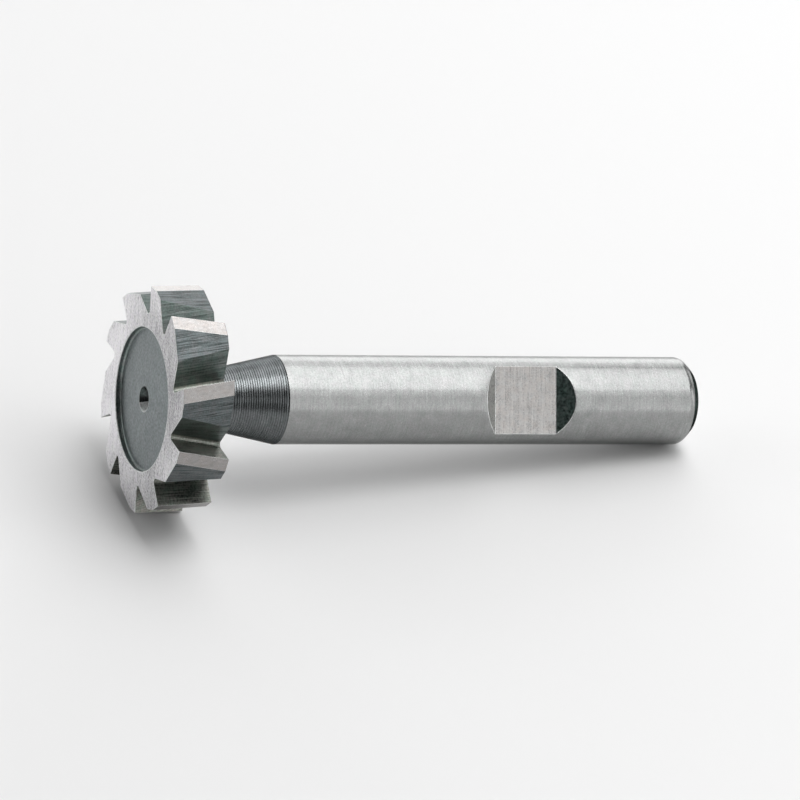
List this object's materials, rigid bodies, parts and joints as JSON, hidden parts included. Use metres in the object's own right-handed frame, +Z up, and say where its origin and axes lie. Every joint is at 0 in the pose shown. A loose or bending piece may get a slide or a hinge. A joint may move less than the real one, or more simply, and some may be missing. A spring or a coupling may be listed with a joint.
{
  "type": "slotting cutter",
  "caption": "Shank-type slotting cutter: a toothed disc with staggered side-slanted teeth on a tapered neck and a round shank with a clamping flat.",
  "frame": {"origin": "on the surface it lies on, below the middle of its outline seen from above", "axes": "+X along the cutter towards the shank end, +Z up; the axis itself dips 7.1 degrees towards the shank end, because the head is larger than the shank"},
  "size_m": [0.068, 0.0254, 0.0254],
  "materials": {
    "tool_steel": "ground and milled high speed steel, satin on the shank and duller in the tooth gaps"
  },
  "bodies": {
    "root": {"slotting_cutter": "tool_steel"}
  },
  "joints": []
}
